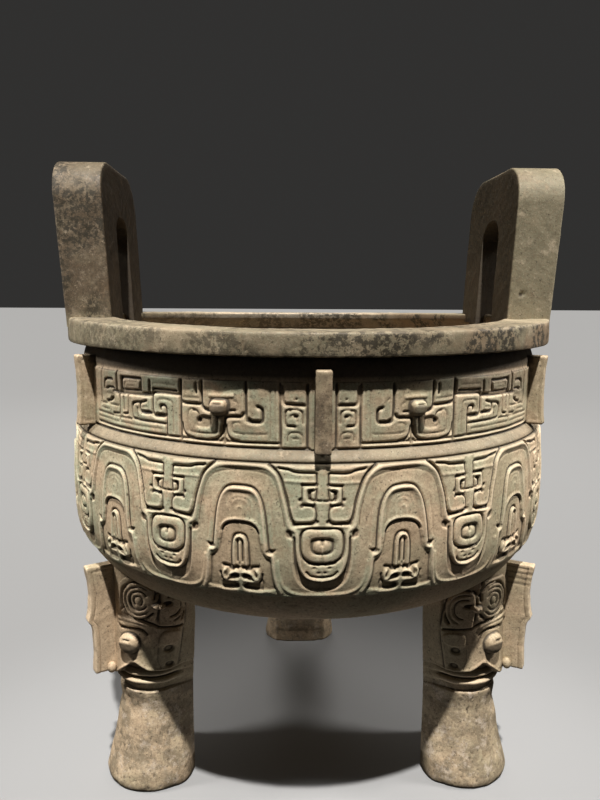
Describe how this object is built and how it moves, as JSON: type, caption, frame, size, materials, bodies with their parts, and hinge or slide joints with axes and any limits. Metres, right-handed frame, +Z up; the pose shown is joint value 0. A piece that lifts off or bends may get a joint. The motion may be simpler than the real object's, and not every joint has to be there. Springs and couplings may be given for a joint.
{
  "type": "bronze ding vessel",
  "caption": "Large round cast bronze cauldron with upright slotted ears, vertical flanges, a relief wave band and hoofed legs with animal masks.",
  "frame": {"origin": "on the ground, under the middle of the bowl", "axes": "+Z up, the front with its flange between two legs faces -Y, the ears stand at -X and +X"},
  "size_m": [0.7576, 0.763, 0.931],
  "materials": {
    "bronze": "aged cast bronze, matt, pale tan to brown with grey-green patina and dark dirt in the hollows"
  },
  "bodies": {
    "root": {"ding_vessel": "bronze"}
  },
  "joints": []
}
